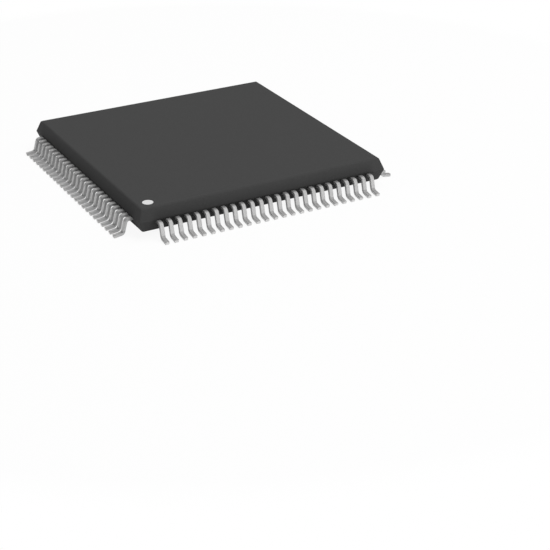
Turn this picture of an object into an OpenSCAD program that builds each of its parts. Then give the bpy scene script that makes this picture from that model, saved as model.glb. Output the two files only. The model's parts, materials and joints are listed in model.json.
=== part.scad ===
// Quad flat pack converter chip: moulded body, gull-wing leads on four sides,
// square pad exposed underneath, and the die and bond wires inside.
// Millimetres. The toes of the leads stand on z = 0, centred on the origin.
// The mark for lead 1 is at the -X, -Y corner, and the leads count counter-clockwise from above.

/* [Lead row] */
// Leads on each of the four sides
leads_per_side = 25; // [21:1:36]
// Distance between the centres of neighbouring leads
lead_pitch = 0.5; // [0.4:0.01:0.8]
// Width of a lead outside the body
lead_w = 0.22; // [0.15:0.01:0.28]
// Thickness of the sheet that the leads are stamped from
lead_t = 0.15; // [0.1:0.01:0.2]
// From the centre of the last lead in a row to the body's widest edge
corner_margin = 1; // [0.9:0.05:2]

/* [Gull wing] */
// From the body's widest edge to the toe of a lead
lead_reach = 1; // [0.9:0.05:1.5]
// From the middle of the riser to the toe, along the foot
foot_l = 0.51; // [0.35:0.01:0.6]
// Dip of the foot from the heel down to the toe, in degrees
foot_dip = 8; // [0:1:10]
// Lean of the riser from the vertical, in degrees
riser_lean = 15; // [2:1:18]
// Inside radius of the bend at the shoulder
shoulder_r = 0.08; // [0.06:0.01:0.2]
// Inside radius of the bend at the heel
heel_r = 0.08; // [0.06:0.01:0.2]

/* [Body] */
// Gap from the board to the underside of the body
standoff = 0.32; // [0.3:0.01:0.6]
// Height of the body below its parting line
lower_h = 0.63; // [0.55:0.01:0.8]
// Height of the body above its parting line
upper_h = 0.62; // [0.5:0.01:0.9]
// From the parting line down to the middle of the leads
lead_set = 0.11; // [0:0.01:0.14]
// Draft of the walls from the vertical, in degrees
draft = 20; // [5:1:25]
// Radius of the edges round the top and the underside
edge_r = 0.12; // [0.05:0.01:0.25]
// Depth of the flat on an upright corner, along the diagonal
corner_cut = 0.03; // [0.02:0.01:0.2]

/* [Mark] */
// Diameter of the mark for lead 1
mark_d = 0.55; // [0.3:0.05:1.2]
// Depth of the recess that the ink fills
mark_depth = 0.03; // [0.02:0.01:0.1]
// From the rim of the mark to the edge of the flat top
mark_gap = 0.26; // [0.1:0.02:2]

/* [Exposed pad] */
// Side of the square pad
pad_w = 9.6; // [7:0.1:10]
// Thickness of the pad
pad_t = 0.3; // [0.25:0.01:0.35]
// How far the pad stands out of the underside
pad_proud = 0.15; // [0.05:0.01:0.2]
// Width of the tab at a corner of the pad
tab_w = 0.76; // [0.5:0.02:1]
// How far a tab runs past the pad's corner, along the diagonal
tab_l = 0.02; // [0.02:0.02:0.6]
// Width of the tie bar that runs on from a tab inside the body
tie_w = 0.4; // [0.3:0.01:0.46]
// From the end of a tab back to where its tie bar starts to rise
tie_set = 0.2; // [0.1:0.02:0.3]
// Slope at which a tie bar rises, in degrees
tie_slope = 45; // [30:1:60]
// Moulding left over the outer end of a tie bar
tie_cover = 0.3; // [0.15:0.05:0.8]

/* [Inside] */
// Length of a lead inside the body
finger_l = 1.8; // [1.2:0.1:2.4]
// Width of a lead at its inner end
finger_w = 0.16; // [0.1:0.01:0.2]
// Gap between a tie bar and the leads beside it
tie_gap = 0.25; // [0.15:0.01:0.3]
// Side of the square die
die_w = 5.6; // [3:0.1:6.6]
// Thickness of the die
die_t = 0.2; // [0.15:0.01:0.3]
// Thickness of the adhesive under the die
attach_t = 0.03; // [0.02:0.005:0.06]
// How far the adhesive spreads past the die
attach_spread = 0.08; // [0.02:0.01:0.3]

/* [Bond wires] */
// Thickness of a bond wire
wire_t = 0.03; // [0.02:0.005:0.05]
// Height of the loop above the leads
loop_h = 0.18; // [0.1:0.01:0.28]
// Length of the flat top of the loop
loop_flat = 0.5; // [0.2:0.05:0.9]
// Width of the ball that joins a wire to the die
ball_d = 0.08; // [0.06:0.01:0.12]
// Height of that ball
ball_h = 0.03; // [0.02:0.005:0.05]
// From the edge of the die to the centres of the balls
bond_inset = 0.1; // [0.08:0.01:0.3]
// From the corner where two rows of balls would meet to the first ball
bond_corner = 0.2; // [0.15:0.05:0.6]
// Length of the stitch that joins a wire to a lead
stitch_l = 0.1; // [0.05:0.01:0.2]
// From the inner end of a lead to the stitch
stitch_inset = 0.12; // [0.05:0.01:0.3]

/* [Hidden] */
front = 0;
right = 1;
back = 2;
left = 3;
sides = [front, right, back, left];
first = -(leads_per_side - 1)/2;
places = [for (i = [0:leads_per_side - 1]) first + i];

// Heights
part_z = standoff + lower_h;
top_z = part_z + upper_h;
lead_z = part_z - lead_set;
lead_low = lead_z - lead_t/2;
lead_top = lead_z + lead_t/2;
pad_z = standoff - pad_proud;
pad_top = pad_z + pad_t;
die_z = pad_top + attach_t;
die_top = die_z + die_t;
loop_z = lead_top + loop_h;

// Body: half widths at the parting line and at the flat top
half = (leads_per_side - 1)*lead_pitch/2 + corner_margin;
arc_steps = 4;
edge_run = edge_r*tan((90 - draft)/2);
flat_top = half - upper_h*tan(draft) - edge_run;
flat_low = half - lower_h*tan(draft) - edge_run;
mark_at = flat_top - mark_gap - mark_d/2;

// Lead: the middle line turns at the shoulder and again at the heel, as [distance out, height]
shoulder_turn = 90 - riser_lean;
heel_turn = shoulder_turn - foot_dip;
toe = half + lead_reach;
to_toe = [cos(foot_dip), -sin(foot_dip)];
off_foot = [sin(foot_dip), cos(foot_dip)];
toe_mid = [toe, 0] + lead_t/2*[-off_foot.x, off_foot.y];
heel = toe_mid - foot_l*to_toe;
shoulder = heel.x - (lead_z - heel.y)*tan(riser_lean);
shoulder_at = shoulder - (shoulder_r + lead_t/2)*tan(shoulder_turn/2);
shoulder_axis = [shoulder_at, lead_low - shoulder_r];
heel_axis = heel + (heel_r + lead_t/2)*(to_toe*tan(heel_turn/2) + off_foot);

// Lead inside the body: it runs straight in, then fans towards the die beside the tie bars
fan_gap = (tie_w/2 + tie_gap + finger_w/2)*sqrt(2);
root = half - (corner_margin - fan_gap);
finger_end = half - finger_l;
finger_pitch = (finger_end - fan_gap)/-first;

// Pad: the tabs and the tie bars lie on its diagonals
tab_end = pad_w/sqrt(2) + tab_l;
tie_start = tab_end - tie_set;
tie_level = tie_start + (lead_top - pad_top)/tan(tie_slope);
tie_bend = lead_t*tan(tie_slope/2);
tie_end = half*sqrt(2) - corner_cut - tie_cover;

bond_row = die_w/2 - bond_inset;
bond_pitch = (bond_row - bond_corner)/-first;

function arc(centre, r, from, to) = [
    for (i = [0:arc_steps])
        let (angle = from + (to - from)*i/arc_steps)
            centre + r*[cos(angle), sin(angle)]
];

// Right-hand edge of the body's section, from the underside up
body_edge = concat(
    arc([flat_low, standoff + edge_r], edge_r, -90, -draft),
    [[half, part_z]],
    arc([flat_top, top_z - edge_r], edge_r, draft, 90)
);

// Section of a lead outside the body, as [distance out, height]
gull_wing = concat(
    [[half, lead_top]],
    arc(shoulder_axis, shoulder_r + lead_t, 90, riser_lean),
    arc(heel_axis, heel_r, 180 + riser_lean, 270 - foot_dip),
    [toe_mid + lead_t/2*off_foot, toe_mid - lead_t/2*off_foot],
    arc(heel_axis, heel_r + lead_t, 270 - foot_dip, 180 + riser_lean),
    arc(shoulder_axis, shoulder_r, riser_lean, 90),
    [[half, lead_low]]
);

function lead_root(i) = [i*lead_pitch, -root];
function lead_tip(i) = [i*finger_pitch, -finger_end];
function along(i) = (lead_root(i) - lead_tip(i))/norm(lead_root(i) - lead_tip(i));
function bond_on_die(i) = [i*bond_pitch, -bond_row];
function bond_on_lead(i) = lead_tip(i) + along(i)*(stitch_inset + stitch_l);

module on_side(side) {
    rotate([0, 0, 90*side]) children();
}

// Section spread to the given width and drawn right through the body
module body_wall(spread, cut) {
    points = [for (p = body_edge) [p.x*spread - cut, p.y]];
    mirrored = [for (i = [len(points) - 1:-1:0]) [-points[i].x, points[i].y]];
    rotate([90, 0, 0]) linear_extrude(4*half, center = true) polygon(concat(points, mirrored));
}

module body_blank() {
    intersection() {
        body_wall(1, 0);
        rotate([0, 0, 90]) body_wall(1, 0);
        rotate([0, 0, 45]) body_wall(sqrt(2), corner_cut);
        rotate([0, 0, -45]) body_wall(sqrt(2), corner_cut);
    }
}

// Flat part of a lead, from the inner end of its finger out to the given distance
module lead_flat(i, end) {
    across = [-along(i).y, along(i).x]*finger_w/2;
    edge = [lead_w/2, 0];
    out = [i*lead_pitch, -end];
    translate([0, 0, lead_low])
        linear_extrude(lead_t)
            polygon([
                lead_tip(i) + across, lead_root(i) + edge, out + edge,
                out - edge, lead_root(i) - edge, lead_tip(i) - across
            ]);
}

module lead(i) {
    lead_flat(i, half);
    translate([i*lead_pitch, 0, 0])
        rotate([90, 0, -90]) linear_extrude(lead_w, center = true) polygon(gull_wing);
}

module lead_row(side) {
    color("silver") on_side(side) for (i = places) lead(i);
}

module bond_wire(i) {
    start = bond_on_die(i);
    run = bond_on_lead(i) - start;
    reach = norm(run);
    t = wire_t;
    translate([start.x, start.y, 0]) {
        translate([0, 0, die_top]) cylinder(d = ball_d, h = ball_h, $fn = 8);
        rotate([90, 0, atan2(run.y, run.x)])
            linear_extrude(t, center = true)
                polygon([
                    [-t/2, die_top], [-t/2, loop_z], [loop_flat, loop_z], [reach - stitch_l, lead_top + t],
                    [reach, lead_top + t/2], [reach, lead_top], [reach - stitch_l, lead_top],
                    [loop_flat, loop_z - t], [t/2, loop_z - t], [t/2, die_top]
                ]);
    }
}

module bond_wire_row(side) {
    color("gold") on_side(side) for (i = places) bond_wire(i);
}

module pin_1_mark() {
    color("white")
        translate([-mark_at, -mark_at, top_z - mark_depth]) cylinder(d = mark_d, h = mark_depth, $fn = 48);
}

// One stamping: the pad, a tab at each corner, and tie bars that rise to the leads' height
module die_paddle() {
    color("gainsboro") {
        translate([0, 0, pad_z])
            linear_extrude(pad_t) {
                square(pad_w, center = true);
                for (turned = [45, -45]) rotate(turned) square([2*tab_end, tab_w], center = true);
            }
        for (turned = [45:90:315])
            rotate([90, 0, turned])
                linear_extrude(tie_w, center = true)
                    polygon([
                        [pad_w/2, pad_top - lead_t], [tie_start, pad_top - lead_t],
                        [tie_level, lead_low], [tie_end, lead_low], [tie_end, lead_top],
                        [tie_level - tie_bend, lead_top], [tie_start - tie_bend, pad_top], [pad_w/2, pad_top]
                    ]);
    }
}

module die_attach() {
    side = die_w + 2*attach_spread;
    color("dimgray") translate([-side/2, -side/2, pad_top]) cube([side, side, attach_t]);
}

module silicon_die() {
    color("slategray") translate([-die_w/2, -die_w/2, die_z]) cube([die_w, die_w, die_t]);
}

// The moulding fills the space round everything that it holds
module mold_body() {
    color([0.2, 0.2, 0.2])
        difference() {
            body_blank();
            pin_1_mark();
            die_paddle();
            die_attach();
            silicon_die();
            for (side = sides) {
                on_side(side) for (i = places) lead_flat(i, shoulder_at);
                bond_wire_row(side);
            }
        }
}

mold_body();
pin_1_mark();
die_paddle();
die_attach();
silicon_die();
lead_row(front);  // leads_front
lead_row(right);  // leads_right
lead_row(back);  // leads_back
lead_row(left);  // leads_left
bond_wire_row(front);  // bond_wires_front
bond_wire_row(right);  // bond_wires_right
bond_wire_row(back);  // bond_wires_back
bond_wire_row(left);  // bond_wires_left
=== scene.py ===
import bpy
import json
import math
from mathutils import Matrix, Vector

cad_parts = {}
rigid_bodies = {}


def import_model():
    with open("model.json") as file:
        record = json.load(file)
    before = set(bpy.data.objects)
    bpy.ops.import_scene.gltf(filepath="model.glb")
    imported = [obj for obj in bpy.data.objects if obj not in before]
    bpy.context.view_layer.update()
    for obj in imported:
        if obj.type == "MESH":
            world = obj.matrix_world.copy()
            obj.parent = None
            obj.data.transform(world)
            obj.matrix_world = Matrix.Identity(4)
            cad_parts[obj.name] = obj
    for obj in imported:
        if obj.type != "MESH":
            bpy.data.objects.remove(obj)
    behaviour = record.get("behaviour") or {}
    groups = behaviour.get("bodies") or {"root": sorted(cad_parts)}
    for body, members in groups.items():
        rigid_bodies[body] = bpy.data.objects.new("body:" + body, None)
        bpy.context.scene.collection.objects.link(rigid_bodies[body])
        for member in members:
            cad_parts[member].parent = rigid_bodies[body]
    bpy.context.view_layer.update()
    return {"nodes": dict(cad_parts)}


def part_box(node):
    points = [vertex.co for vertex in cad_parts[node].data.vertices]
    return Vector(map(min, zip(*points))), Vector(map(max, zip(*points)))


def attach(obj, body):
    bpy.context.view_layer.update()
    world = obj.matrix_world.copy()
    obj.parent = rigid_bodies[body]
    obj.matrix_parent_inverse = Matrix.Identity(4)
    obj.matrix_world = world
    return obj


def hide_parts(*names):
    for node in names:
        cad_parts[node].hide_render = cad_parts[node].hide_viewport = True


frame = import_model()
mm = 0.001
near, exact = 0.01, 0.001  # mm, for picking faces and edges by place
flat, toward = 0.999, 0.9  # and by the way they face
sideNames = ["front", "right", "back", "left"]  # counter-clockwise from above, front is -Y
print("frame loaded:", len(frame["nodes"]), "nodes")


# modelling helpers

def deselectAll():
    if bpy.context.mode != "OBJECT":
        bpy.ops.object.mode_set(mode="OBJECT")
    bpy.ops.object.select_all(action="DESELECT")


def makeActive(piece):
    deselectAll()
    piece.select_set(True)
    bpy.context.view_layer.objects.active = piece


def block(name, low, high):  # a box between two corners, in mm, with its place in its mesh
    deselectAll()
    low, high = Vector(low), Vector(high)
    bpy.ops.mesh.primitive_cube_add(size=1, location=(low + high) / 2 * mm)
    piece = bpy.context.active_object
    piece.name = name
    piece.scale = (high - low) * mm
    bpy.ops.object.transform_apply(location=True, rotation=True, scale=True)
    return piece


def pickFaces(piece, test):  # into edit mode, with only the faces that the test takes selected
    makeActive(piece)
    bpy.ops.object.mode_set(mode="EDIT")
    bpy.ops.mesh.select_mode(type="FACE")
    bpy.ops.mesh.select_all(action="DESELECT")
    bpy.ops.object.mode_set(mode="OBJECT")
    for face in piece.data.polygons:
        face.select = test(face.center / mm, face.normal)
    bpy.ops.object.mode_set(mode="EDIT")


def pickEdges(piece, test):  # the same for edges, by their two ends
    makeActive(piece)
    bpy.ops.object.mode_set(mode="EDIT")
    bpy.ops.mesh.select_mode(type="EDGE")
    bpy.ops.mesh.select_all(action="DESELECT")
    bpy.ops.object.mode_set(mode="OBJECT")
    points = [v.co / mm for v in piece.data.vertices]
    for edge in piece.data.edges:
        edge.select = test(points[edge.vertices[0]], points[edge.vertices[1]])
    bpy.ops.object.mode_set(mode="EDIT")


def pickOpenEdges():  # in edit mode
    bpy.ops.mesh.select_mode(type="EDGE")
    bpy.ops.mesh.select_all(action="DESELECT")
    bpy.ops.mesh.select_non_manifold(use_wire=True, use_boundary=True, use_multi_face=False,
                                     use_non_contiguous=False, use_verts=False)


def pull(x, y, z):  # extrude what is selected by this many mm
    bpy.ops.mesh.extrude_region_move(TRANSFORM_OT_translate={"value": (x * mm, y * mm, z * mm)})


def softenEdges(piece, width, segments, sharper):  # a bevel on each edge sharper than so many degrees
    makeActive(piece)
    soft = piece.modifiers.new("soft edges", "BEVEL")
    soft.width = width * mm
    soft.segments = segments
    soft.limit_method = "ANGLE"
    soft.angle_limit = math.radians(sharper)
    bpy.ops.object.modifier_apply(modifier=soft.name)
    bpy.ops.object.shade_smooth_by_angle(angle=math.radians(sharper))


def keepFlat(piece, margin=0.02):  # a rim inside the large faces holds them flat in the light
    pickFaces(piece, lambda centre, normal: abs(normal.z) > flat)
    bpy.ops.mesh.inset(thickness=margin * mm)
    bpy.ops.object.mode_set(mode="OBJECT")


def copyOf(piece, name):
    makeActive(piece)
    bpy.ops.object.duplicate(linked=False)
    made = bpy.context.active_object
    made.name = name
    return made


def turned(piece, degrees):  # about the upright axis, with the turn applied to the mesh
    makeActive(piece)
    piece.rotation_euler = (0, 0, math.radians(degrees))
    bpy.ops.object.transform_apply(location=True, rotation=True, scale=True)


def joined(pieces, name):
    deselectAll()
    for piece in pieces:
        piece.select_set(True)
    bpy.context.view_layer.objects.active = pieces[0]
    bpy.ops.object.join()
    pieces[0].name = name
    return pieces[0]


def seat(piece, node):
    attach(piece, "root")
    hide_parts(node)


# camera, at the photograph's viewing angle in its 550 x 550 frame

view = {
    "azimuth": -28.81,
    "elevation": 26.95,
    "distance": 80.6,
    "aside": -3.776,  # where the middle of the footprint lies in the picture, in mm at that distance
    "above": 5.936,
    "lens": 97.26,
    "sensor": 36,
}


def setCamera():
    azimuth, elevation = math.radians(view["azimuth"]), math.radians(view["elevation"])
    back = Vector((math.sin(azimuth) * math.cos(elevation), -math.cos(azimuth) * math.cos(elevation),
                   math.sin(elevation)))
    right = Vector((math.cos(azimuth), math.sin(azimuth), 0))
    up = back.cross(right)
    bpy.ops.object.camera_add()
    camera = bpy.context.active_object
    camera.location = (back * view["distance"] - right * view["aside"] - up * view["above"]) * mm
    camera.rotation_euler = (-back).to_track_quat("-Z", "Y").to_euler()
    camera.data.lens = view["lens"]
    camera.data.sensor_width = view["sensor"]
    camera.data.clip_start = 1 * mm
    camera.data.clip_end = 2
    bpy.context.scene.camera = camera


setCamera()
print("camera set")


# shader maths

class Value:  # wraps a socket, so that an expression on values adds its Math nodes
    def __init__(self, finish, socket):
        self.finish = finish
        self.socket = socket

    def maths(self, operation, first, second):
        return self.finish.add("ShaderNodeMath", {"operation": operation}, {0: first, 1: second}).value()

    def __add__(self, other):
        return self.maths("ADD", self, other)

    def __radd__(self, other):
        return self.maths("ADD", other, self)

    def __sub__(self, other):
        return self.maths("SUBTRACT", self, other)

    def __rsub__(self, other):
        return self.maths("SUBTRACT", other, self)

    def __mul__(self, other):
        return self.maths("MULTIPLY", self, other)

    def __rmul__(self, other):
        return self.maths("MULTIPLY", other, self)

    def larger(self, other):
        return self.maths("MAXIMUM", self, other)

    def smaller(self, other):
        return self.maths("MINIMUM", self, other)

    def size(self):
        return self.maths("ABSOLUTE", self, 0)

    def band(self, low, high):  # 0 below low, 1 above high, smooth between
        return self.finish.add("ShaderNodeMapRange", {"interpolation_type": "SMOOTHSTEP"},
                               {"Value": self, "From Min": low, "From Max": high}).value()

    def bandMm(self, ends):
        return self.band(ends[0] * mm, ends[1] * mm)


class Made:  # a node with its finish, to take outputs from
    def __init__(self, finish, node):
        self.finish = finish
        self.node = node

    def value(self, output=0):
        return Value(self.finish, self.node.outputs[output])


class Finish:  # one material's nodes
    def __init__(self, name, tree=None):
        if tree is None:
            self.material = bpy.data.materials.new(name)
            self.material.use_nodes = True
            tree = self.material.node_tree
        self.tree = tree
        self.tree.nodes.clear()

    def add(self, kind, settings=None, sockets=None):
        node = self.tree.nodes.new(kind)
        for key, setting in (settings or {}).items():
            setattr(node, key, setting)
        for key, given in (sockets or {}).items():
            if isinstance(given, Value):
                self.tree.links.new(given.socket, node.inputs[key])
            else:
                node.inputs[key].default_value = given
        return Made(self, node)

    def place(self, kind="Object"):
        return self.add("ShaderNodeTexCoord").value(kind)

    def axes(self, kind="Object"):
        return self.split(self.place(kind))

    def facing(self):
        return self.split(self.add("ShaderNodeNewGeometry").value("Normal"))

    def split(self, vector):
        parts = self.add("ShaderNodeSeparateXYZ", None, {0: vector})
        return parts.value("X"), parts.value("Y"), parts.value("Z")

    def noise(self, scale, detail=2.0, rough=0.5):
        sockets = {"Vector": self.place(), "Scale": scale, "Detail": detail, "Roughness": rough}
        return self.add("ShaderNodeTexNoise", None, sockets).value("Fac")

    def mix(self, factor, first, second):  # between two colours
        node = self.add("ShaderNodeMix", {"data_type": "RGBA"}, {0: factor, 6: first, 7: second})
        return node.value(2)

    def bump(self, height, depth, strength=1.0):
        sockets = {"Height": height, "Distance": depth, "Strength": strength}
        return self.add("ShaderNodeBump", None, sockets).value("Normal")

    def end(self, shader, kind="ShaderNodeOutputMaterial"):
        self.add(kind, None, {"Surface": shader})
        return getattr(self, "material", None)

    def coat(self, sockets):  # the finished surface
        return self.end(self.add("ShaderNodeBsdfPrincipled", None, sockets).value())


def grey(level, warm=0.0):
    return (level * (1 + warm), level, level * (1 - warm), 1)


def tone(piece, share, warm=0.0):  # a named share of a piece's grey
    return grey(piece["colour"] * piece[share], warm)


def scaled(colour, share):
    return tuple(part * share for part in colour[:3]) + (1,)


def wear(piece, material):
    piece.data.materials.clear()
    piece.data.materials.append(material)


# moulded body

mould = {
    "draft": 20,  # degrees, walls from the vertical
    "partHeight": 0.95,  # parting line above the board
    "leadDrop": 0.11,  # parting line down to the middle of the leads
    "cornerCut": 0.03,  # flat on an upright corner, along the diagonal
    "edgeRadius": 0.12,
    "edgeSteps": 5,
    "recessGap": 0.006,  # round the ink mark
    "recessDepth": 0.03,
    "recessRoom": 0.45,  # from the middle of the mark to the cuts that set it apart
    "recessSteps": 48,
    "smoothAngle": 32,
    "colour": 0.0525,
    "grain": 15000,  # filler grains, per metre
    "grainTone": 1.35,  # tones are shares of the colour
    "grainShare": 0.35,
    "fleckTone": 2.0,
    "fleckShare": 0.3,
    "flow": 420,  # broad mottling, per metre
    "flowDark": 0.95,
    "flowPale": 1.05,
    "wallFrom": (6.62, 6.76),  # where the top gives way to the wall
    "rowEnd": (5.9, 6.5),  # where the rows of leads stop, along a wall
    "paintedShadeReach": 0.85,  # painted shade: the wall is painted darker towards the leads
    "paintedShadeTone": 0.45,
    "paintedShadeShare": 0.55,
    "paintedGapShadeReach": (0.1, 0.22),  # painted shade in a thin band between the leads
    "paintedGapShadeTone": 0.3,
    "paintedGapShadeShare": 0.5,
    "roughness": 0.62,
    "gloss": 0.15,
    "bumpDepth": 2e-6,
}


def makeMould():
    low, high = (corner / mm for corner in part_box("mold_body"))
    piece = block("moldedBody", low, high)
    half = high.x
    pickFaces(piece, lambda centre, normal: True)
    bpy.ops.mesh.bisect(plane_co=(0, 0, mould["partHeight"] * mm), plane_no=(0, 0, 1))
    slope = math.tan(math.radians(mould["draft"]))
    for level, reach in ((high.z, high.z - mould["partHeight"]), (low.z, mould["partHeight"] - low.z)):
        share = 1 - reach * slope / half
        pickFaces(piece, lambda centre, normal: abs(centre.z - level) < near and abs(normal.z) > toward)
        bpy.ops.transform.resize(value=(share, share, 1), center_override=(0, 0, level * mm))
    onFlat = lambda point: min(abs(point.z - low.z), abs(point.z - high.z)) < exact
    pickEdges(piece, lambda a, b: onFlat(a) and abs(a.z - b.z) < exact)
    across = mould["edgeRadius"] * math.tan(math.radians(90 - mould["draft"]) / 2)
    bpy.ops.mesh.bevel(offset=across * mm, segments=mould["edgeSteps"], affect="EDGES")
    bpy.ops.object.mode_set(mode="OBJECT")
    onCorner = lambda point: abs(abs(point.x) - abs(point.y)) < exact
    pickEdges(piece, lambda a, b: onCorner(a) and onCorner(b) and (a - b).length < half)
    bpy.ops.mesh.bevel(offset=mould["cornerCut"] * math.sqrt(2) * mm, segments=2, affect="EDGES")
    bpy.ops.object.mode_set(mode="OBJECT")
    keepFlat(piece)
    cutRecess(piece)
    makeActive(piece)
    bpy.ops.object.shade_smooth_by_angle(angle=math.radians(mould["smoothAngle"]))
    return piece


def cutRecess(piece):  # the round pocket for the ink, set in a square of its own
    low, high = (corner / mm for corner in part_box("pin_1_mark"))
    middle = Vector(((low.x + high.x) / 2, (low.y + high.y) / 2, high.z))
    far = middle + Vector((1, 1, 0)) * mould["recessRoom"]
    for across in ((1, 0, 0), (0, 1, 0)):
        pickFaces(piece, lambda centre, normal: normal.z > flat)
        bpy.ops.mesh.bisect(plane_co=far * mm, plane_no=across)
    inRoom = lambda centre: (centre - middle).length < mould["recessRoom"]
    pickFaces(piece, lambda centre, normal: normal.z > flat and inRoom(centre))
    bpy.ops.mesh.delete(type="ONLY_FACE")
    radius = (high.x - low.x) / 2 + mould["recessGap"]
    steps = mould["recessSteps"]
    bpy.ops.mesh.primitive_circle_add(vertices=steps, radius=radius * mm, location=middle * mm)
    pickOpenEdges()
    bpy.ops.mesh.bridge_edge_loops()
    pickOpenEdges()
    pull(0, 0, -mould["recessDepth"])
    bpy.ops.mesh.edge_face_add()
    bpy.ops.mesh.select_all(action="SELECT")
    bpy.ops.mesh.normals_make_consistent(inside=False)
    bpy.ops.object.mode_set(mode="OBJECT")


def mouldFinish():
    finish = Finish("moldCompound")
    grain = finish.noise(mould["grain"], 3.0, 0.6)
    flow = finish.noise(mould["flow"], 3.0)
    flecks = finish.noise(mould["grain"] * 2.3, 1.0).band(0.66, 0.74)
    mottled = finish.mix(flow, tone(mould, "flowDark"), tone(mould, "flowPale"))
    grained = finish.mix(grain.band(0.3, 0.7) * mould["grainShare"], mottled, tone(mould, "grainTone"))
    x, y, z = finish.axes()
    onWall = x.size().larger(y.size()).bandMm(mould["wallFrom"])
    alongRow = onWall * (1 - x.size().smaller(y.size()).bandMm(mould["rowEnd"]))
    height = (z - (mould["partHeight"] - mould["leadDrop"]) * mm).size()  # above or below the leads
    # painted shade on the walls along the rows of leads, deepest at the leads' height
    paintedShade = alongRow * (1 - height.bandMm((0, mould["paintedShadeReach"])))
    # painted shade in a thin band at the leads' height along the rows
    paintedGapShade = alongRow * (1 - height.bandMm(mould["paintedGapShadeReach"]))
    dimmed = finish.mix(paintedShade * mould["paintedShadeShare"], grained, tone(mould, "paintedShadeTone"))
    darkened = finish.mix(paintedGapShade * mould["paintedGapShadeShare"], dimmed, tone(mould, "paintedGapShadeTone"))
    colour = finish.mix(flecks * mould["fleckShare"], darkened, tone(mould, "fleckTone"))
    return finish.coat({
        "Base Color": colour,
        "Roughness": mould["roughness"] + flow * 0.1 + grain * 0.08,
        "Specular IOR Level": mould["gloss"],
        "Normal": finish.bump(grain + flecks * 0.4, mould["bumpDepth"], 0.6),
    })


moldPiece = makeMould()
wear(moldPiece, mouldFinish())
seat(moldPiece, "mold_body")
print("moulded body:", len(moldPiece.data.polygons), "faces")


# leads

lead = {
    "perSide": 25,
    "pitch": 0.5,
    "width": 0.22,
    "thick": 0.15,
    "footLength": 0.51,  # middle of the riser to the toe
    "footDip": 8,  # degrees, toe down
    "lean": 15,  # degrees, riser from the vertical
    "shoulderBend": 0.08,  # inside radii
    "heelBend": 0.08,
    "bendSteps": 3,
    "root": 6.75,  # where the straight part ends inside the wall
    "fingerEnd": 5.2,
    "fingerPitch": 0.3709,
    "fingerWidth": 0.16,
    "edgeRadius": 0.016,
    "smoothAngle": 40,
    "colour": 0.77,
    "flankShadeTone": 0.78,  # painted shade: how bright the sheared sides are painted beside the rolled faces
    "leadShadeTone": 0.4,  # painted shade: how bright the plating is painted where the shade is deepest
    "wallShadeReach": (7.02, 7.3),  # painted shade near the wall
    "wallShadeShare": 0.7,
    "heelHeight": 0.245,  # painted shade in the bend at the heel
    "heelReach": (0.02, 0.08),
    "heelShadeShare": 0.4,
    "grain": 26000,  # per metre
    "grainTone": 0.85,
    "grainShare": 0.25,
    "cloud": 1600,
    "cloudDark": 0.94,
    "cloudPale": 1.06,
    "metallic": 0.8,
    "roughness": 0.4,
    "bumpDepth": 8e-7,
}


def bend(turn, y, z):  # sweep the selected end face round an axis along X; a plus turn goes down
    bpy.ops.mesh.spin(steps=lead["bendSteps"], angle=-turn, axis=(1, 0, 0), center=(0, y * mm, z * mm))


def makeLead():  # one gull wing, pointing to -Y, from its root in the wall to its toe
    thick, lean, dip = lead["thick"], math.radians(lead["lean"]), math.radians(lead["footDip"])
    toe = -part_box("leads_front")[0].y / mm
    middle = mould["partHeight"] - mould["leadDrop"]
    shoulderTurn = math.radians(90) - lean
    heelTurn = shoulderTurn - dip
    shoulderRadius = lead["shoulderBend"] + thick / 2
    heelRadius = lead["heelBend"] + thick / 2
    heelY = toe - math.sin(dip) * thick / 2 - lead["footLength"] * math.cos(dip)
    heelZ = math.cos(dip) * thick / 2 + lead["footLength"] * math.sin(dip)
    shoulderY = heelY - (middle - heelZ) * math.tan(lean)
    shoulderRun = shoulderRadius * math.tan(shoulderTurn / 2)
    heelRun = heelRadius * math.tan(heelTurn / 2)
    bendAt = shoulderY - shoulderRun
    riser = (middle - heelZ) / math.cos(lean) - shoulderRun - heelRun
    foot = lead["footLength"] - heelRun
    piece = block("lead", (-lead["width"] / 2, -bendAt, middle - thick / 2),
                  (lead["width"] / 2, -lead["root"], middle + thick / 2))
    pickFaces(piece, lambda centre, normal: normal.y < -toward)
    bend(shoulderTurn, -bendAt, middle - shoulderRadius)
    pull(0, -math.sin(lean) * riser, -math.cos(lean) * riser)
    heelAxisY = heelY + heelRun * math.cos(dip) + heelRadius * math.sin(dip)
    heelAxisZ = heelZ - heelRun * math.sin(dip) + heelRadius * math.cos(dip)
    bend(-heelTurn, -heelAxisY, heelAxisZ)
    pull(0, -math.cos(dip) * foot, -math.sin(dip) * foot)
    bpy.ops.mesh.select_all(action="SELECT")
    bpy.ops.mesh.normals_make_consistent(inside=False)
    bpy.ops.object.mode_set(mode="OBJECT")
    return piece


def makeLeadRow():
    pattern = makeLead()
    row = []
    for i in range(lead["perSide"]):
        step = i - (lead["perSide"] - 1) / 2
        made = copyOf(pattern, "lead.%02d" % i)
        made.location.x = step * lead["pitch"] * mm
        bpy.ops.object.transform_apply(location=True, rotation=False, scale=False)
        pickFaces(made, lambda centre, normal: normal.y > toward and centre.y > -lead["root"] - near)
        inward = lead["root"] - lead["fingerEnd"]
        pull(step * (lead["fingerPitch"] - lead["pitch"]), inward, 0)
        bpy.ops.transform.resize(value=(lead["fingerWidth"] / lead["width"], 1, 1))
        row.append(made)
    bpy.data.objects.remove(pattern)
    made = joined(row, "leadRow")
    softenEdges(made, lead["edgeRadius"], 1, lead["smoothAngle"])
    return made


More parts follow.
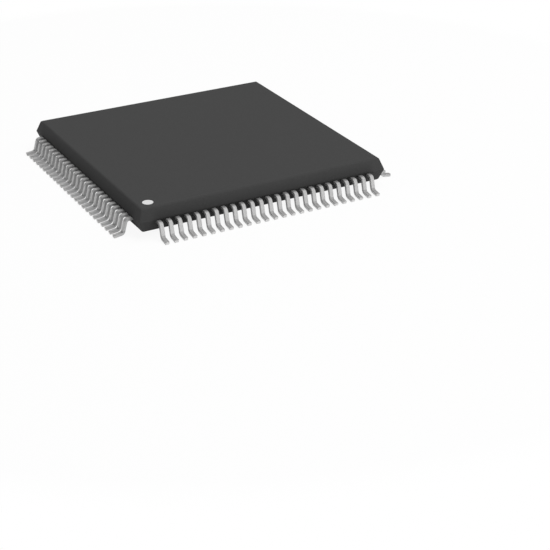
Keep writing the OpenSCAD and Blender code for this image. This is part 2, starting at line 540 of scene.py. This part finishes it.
def leadFinish():
    finish = Finish("tinPlate")
    x, y, z = finish.axes()
    grain = finish.noise(lead["grain"], 2.0)
    cloud = finish.noise(lead["cloud"], 3.0)
    # painted shade on the leads near the wall of the body
    atWall = 1 - x.size().larger(y.size()).bandMm(lead["wallShadeReach"])
    # painted shade in the inside bend at the heel
    heel = 1 - (z - lead["heelHeight"] * mm).size().bandMm(lead["heelReach"])
    faceX, faceY, faceZ = finish.facing()
    frontOrBack = (y.size() - x.size()).bandMm((-0.1, 0.1))
    sideways = faceX.size() * frontOrBack + faceY.size() * (1 - frontOrBack)
    flank = sideways.band(0.25, 0.85)  # the sheared sides, which get painted shade
    plated = finish.mix(cloud, tone(lead, "cloudDark", 0.006), tone(lead, "cloudPale", 0.004))
    grained = finish.mix(grain.band(0.35, 0.65) * lead["grainShare"], plated, tone(lead, "grainTone"))
    # painted shade on the sheared sides of the leads
    flankShaded = finish.mix(flank, grained, tone(lead, "flankShadeTone"))
    # painted shade at the heel
    heelShaded = finish.mix(heel * lead["heelShadeShare"], flankShaded, tone(lead, "leadShadeTone"))
    # painted shade where the leads meet the wall
    colour = finish.mix(atWall * lead["wallShadeShare"], heelShaded, tone(lead, "leadShadeTone"))
    return finish.coat({
        "Base Color": colour,
        "Metallic": lead["metallic"],
        "Roughness": lead["roughness"] + grain * 0.1 + cloud * 0.06,
        "Normal": finish.bump(grain, lead["bumpDepth"], 0.5),
    })


tinPlate = leadFinish()
frontRow = makeLeadRow()
leadRows = [frontRow] + [copyOf(frontRow, "copy") for name in sideNames[1:]]
for turn, (row, name) in enumerate(zip(leadRows, sideNames)):
    turned(row, 90 * turn)
    row.name = "leadRow" + name.capitalize()
    wear(row, tinPlate)
    seat(row, "leads_" + name)
rowFaces = len(frontRow.data.polygons)
print("leads:", len(leadRows), "rows of", lead["perSide"], "with", rowFaces, "faces a row")


# exposed pad and its tie bars

pad = {
    "width": 9.6,
    "tabWidth": 0.76,
    "tabPast": 0.02,  # past the pad's corner
    "thick": 0.3,
    "tieWidth": 0.4,
    "tieThick": 0.15,
    "tieSet": 0.2,  # from the tab's end back to where a tie bar starts to rise
    "edgeRadius": 0.025,
    "smoothAngle": 40,
    "colour": 0.8,
    "grain": 9000,  # per metre
    "grainTone": 0.88,
    "grainShare": 0.3,
    "cloud": 350,
    "cloudDark": 0.96,
    "cloudPale": 1.03,
    "roughness": 0.44,
    "bumpDepth": 1.5e-6,
}


def makePad():
    low, high = (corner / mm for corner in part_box("die_paddle"))
    half, top = pad["width"] / 2, low.z + pad["thick"]
    plate = block("exposedPad", (-half, -half, low.z), (half, half, top))
    pickEdges(plate, lambda a, b: abs(a.z - b.z) > 0.1)
    bpy.ops.mesh.bevel(offset=pad["tabWidth"] / math.sqrt(2) * mm, segments=1, affect="EDGES")
    bpy.ops.object.mode_set(mode="OBJECT")
    diagonal = lambda normal: abs(abs(normal.x) - abs(normal.y)) < 0.01
    pickFaces(plate, lambda centre, normal: diagonal(normal) and abs(normal.z) < 0.1)
    bpy.ops.mesh.extrude_faces_move(
        TRANSFORM_OT_shrink_fatten={"value": (pad["tabWidth"] / 2 + pad["tabPast"]) * mm})
    bpy.ops.object.mode_set(mode="OBJECT")
    softenEdges(plate, pad["edgeRadius"], 2, pad["smoothAngle"])
    keepFlat(plate)
    bars = [makeTieBar(top, 45 + 90 * i) for i in range(4)]
    return joined([plate] + bars, "exposedPad")


def makeTieBar(top, degrees):  # along +X, then turned to its corner
    thick, side = pad["tieThick"], pad["tieWidth"] / 2
    start = pad["width"] / math.sqrt(2) + pad["tabPast"] - pad["tieSet"]
    rise = mould["partHeight"] - mould["leadDrop"] + thick / 2 - top
    mitre = thick * math.tan(math.radians(22.5))  # half of the 45 degrees that the bar turns at a bend
    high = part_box("die_paddle")[1].x / mm
    end = high * math.sqrt(2) - side
    bar = block("tieBar", (pad["width"] / 2, -side, top - thick), (start, side, top))
    pickEdges(bar, lambda a, b: min(a.x, b.x) > start - near and min(a.z, b.z) > top - near)
    bpy.ops.transform.translate(value=(-mitre * mm, 0, 0))
    bpy.ops.object.mode_set(mode="OBJECT")
    pickFaces(bar, lambda centre, normal: normal.x > 0.5)
    pull(rise, 0, rise)
    pull(end - start - rise, 0, 0)
    bpy.ops.object.mode_set(mode="OBJECT")
    pickEdges(bar, lambda a, b: min(a.x, b.x) > end - mitre - near and min(a.z, b.z) > top + rise - near)
    bpy.ops.transform.translate(value=(mitre * mm, 0, 0))
    bpy.ops.object.mode_set(mode="OBJECT")
    turned(bar, degrees)
    return bar


def padFinish():
    finish = Finish("padPlate")
    grain = finish.noise(pad["grain"], 4.0, 0.6)
    cloud = finish.noise(pad["cloud"], 3.0)
    plated = finish.mix(cloud, tone(pad, "cloudDark"), tone(pad, "cloudPale", 0.003))
    colour = finish.mix(grain.band(0.4, 0.7) * pad["grainShare"], plated, tone(pad, "grainTone"))
    return finish.coat({
        "Base Color": colour,
        "Metallic": 1.0,
        "Roughness": pad["roughness"] + grain * 0.14,
        "Normal": finish.bump(grain, pad["bumpDepth"], 0.5),
    })


padPiece = makePad()
wear(padPiece, padFinish())
seat(padPiece, "die_paddle")
print("exposed pad:", len(padPiece.data.polygons), "faces")


# ink mark and the pieces inside

ink = {
    "colour": 0.74,
    "speck": 30000,  # per metre
    "speckTone": 0.8,
    "speckShare": 0.5,
    "roughness": 0.6,
    "gloss": 0.3,
}


def inkFinish():
    finish = Finish("markInk")
    speck = finish.noise(ink["speck"], 2.0)
    return finish.coat({
        "Base Color": finish.mix(speck.band(0.55, 0.75) * ink["speckShare"], grey(ink["colour"]),
                                 tone(ink, "speckTone")),
        "Roughness": ink["roughness"] + speck * 0.15,
        "Specular IOR Level": ink["gloss"],
    })


die = {
    "colour": (0.06, 0.066, 0.085, 1),
    "haze": 3000,  # per metre
    "hazeTone": 1.4,
    "street": (2.6, 2.62),  # where the bare strip left by the saw starts, from the middle
    "streetColour": 0.3,
    "streetShare": 0.5,
    "metallic": 0.4,
    "roughness": 0.16,
}


def siliconFinish():  # a dark mirror with a paler strip round its edge
    finish = Finish("silicon")
    x, y, z = finish.axes()
    haze = finish.noise(die["haze"], 2.0)
    street = x.size().larger(y.size()).bandMm(die["street"])
    shade = finish.mix(haze, die["colour"], scaled(die["colour"], die["hazeTone"]))
    return finish.coat({
        "Base Color": finish.mix(street * die["streetShare"], shade, grey(die["streetColour"])),
        "Metallic": die["metallic"],
        "Roughness": die["roughness"] + haze * 0.1,
    })


glue = {
    "colour": 0.16,
    "flake": 20000,  # per metre
    "flakeTone": 2.4,
    "roughness": 0.5,
}


def glueFinish():
    finish = Finish("dieAdhesive")
    flake = finish.noise(glue["flake"], 2.0)
    return finish.coat({
        "Base Color": finish.mix(flake.band(0.5, 0.7), grey(glue["colour"]), tone(glue, "flakeTone")),
        "Roughness": glue["roughness"] + flake * 0.2,
    })


wire = {
    "colour": (0.83, 0.57, 0.2, 1),
    "grain": 40000,  # per metre
    "grainTone": 0.85,
    "roughness": 0.2,
}


def goldFinish():
    finish = Finish("bondGold")
    drawn = finish.noise(wire["grain"], 1.0)
    return finish.coat({
        "Base Color": finish.mix(drawn, wire["colour"], scaled(wire["colour"], wire["grainTone"])),
        "Metallic": 1.0,
        "Roughness": wire["roughness"] + drawn * 0.12,
    })


wear(frame["nodes"]["pin_1_mark"], inkFinish())
wear(frame["nodes"]["silicon_die"], siliconFinish())
wear(frame["nodes"]["die_attach"], glueFinish())
goldWire = goldFinish()
for name in sideNames:
    wear(frame["nodes"]["bond_wires_" + name], goldWire)
print("mark and inner pieces finished")


# floor, light and background

studio = {
    "floorSize": 0.9,
    "floorColour": 0.85,
    "floorDrop": 0.01,  # mm under the toes
    "floorWhite": 0.92,  # how far the floor goes to plain white where it is seen beside the chip
    "floorMirrored": 0.3,  # and where the metal mirrors it
    "shadowReach": 13,  # mm from the middle of the chip, where the floor starts to fade
    "whiteFrom": 32,  # and where it is plain white
    "around": 0.29,  # level of the light from all round
    "leftLevel": 0.12,  # where the metal mirrors the room, these sides are dimmer than the front
    "leftBand": (-0.3, 0.6),
    "rightLevel": 0.3,
    "rightBand": (0.38, 0.62),
    "backLevel": 0.62,
    "backBand": (-0.3, 0.7),
    "overheadLevel": 0.9,
    "overheadBand": (0.1, 0.8),
    "keyPower": 0.38,
    "keySize": 0.2,
    "keyFrom": (0.27, -0.24, 0.935),
    "keyDistance": 0.2,
}


def seenRays(finish):  # rays from the camera, and those by which metal and glass show the background
    rays = finish.add("ShaderNodeLightPath")
    mirrored = rays.value("Is Glossy Ray").larger(rays.value("Is Transmission Ray"))
    return rays.value("Is Camera Ray"), mirrored


def makeFloor():
    deselectAll()
    bpy.ops.mesh.primitive_plane_add(size=studio["floorSize"], location=(0, 0, -studio["floorDrop"] * mm))
    floor = bpy.context.active_object
    floor.name = "floor"
    finish = Finish("paleFloor")
    finish.material.cycles.emission_sampling = "NONE"  # a white to look at, not a lamp
    paper = finish.add("ShaderNodeBsdfDiffuse", None, {"Color": grey(studio["floorColour"])}).value()
    white = finish.add("ShaderNodeEmission", None, {"Color": grey(1.0), "Strength": 1.0}).value()
    direct, mirrored = seenRays(finish)
    x, y, z = finish.axes()
    away = (x * x + y * y).band((studio["shadowReach"] * mm) ** 2, (studio["whiteFrom"] * mm) ** 2)
    share = direct * away.larger(studio["floorWhite"]) + mirrored * studio["floorMirrored"]
    shown = finish.add("ShaderNodeMixShader", None, {0: share, 1: paper, 2: white}).value()
    clear = finish.add("ShaderNodeBsdfTransparent").value()
    below = finish.add("ShaderNodeNewGeometry").value("Backfacing")  # nothing hides the underside
    whole = finish.add("ShaderNodeMixShader", None, {0: below, 1: shown, 2: clear}).value()
    wear(floor, finish.end(whole))


def makeLight():
    deselectAll()
    aim = Vector(studio["keyFrom"]).normalized()
    bpy.ops.object.light_add(type="AREA", location=aim * studio["keyDistance"])
    key = bpy.context.active_object
    key.name = "softKey"
    key.rotation_euler = (-aim).to_track_quat("-Z", "Y").to_euler()
    key.data.shape = "DISK"
    key.data.size = studio["keySize"]
    key.data.energy = studio["keyPower"]
    key.visible_glossy = False  # the metal mirrors the white surroundings, not the lamp
    world = bpy.data.worlds.new("studio")
    bpy.context.scene.world = world
    world.use_nodes = True
    finish = Finish("studio", world.node_tree)
    direct, mirrored = seenRays(finish)
    toRight, toBack, toTop = finish.axes("Generated")
    left = 1 - (0 - toRight).band(*studio["leftBand"]) * (1 - studio["leftLevel"])
    right = 1 - toRight.band(*studio["rightBand"]) * (1 - studio["rightLevel"])
    back = 1 - toBack.band(*studio["backBand"]) * (1 - studio["backLevel"])
    top = 1 - toTop.band(*studio["overheadBand"]) * (1 - studio["overheadLevel"])
    level = direct.larger(studio["around"] + mirrored * (left * right * back * top - studio["around"]))
    air = finish.add("ShaderNodeBackground", None, {"Color": grey(1.0), "Strength": level}).value()
    finish.end(air, "ShaderNodeOutputWorld")


makeFloor()
makeLight()
bpy.context.scene.view_settings.view_transform = "Standard"
print("studio lit")
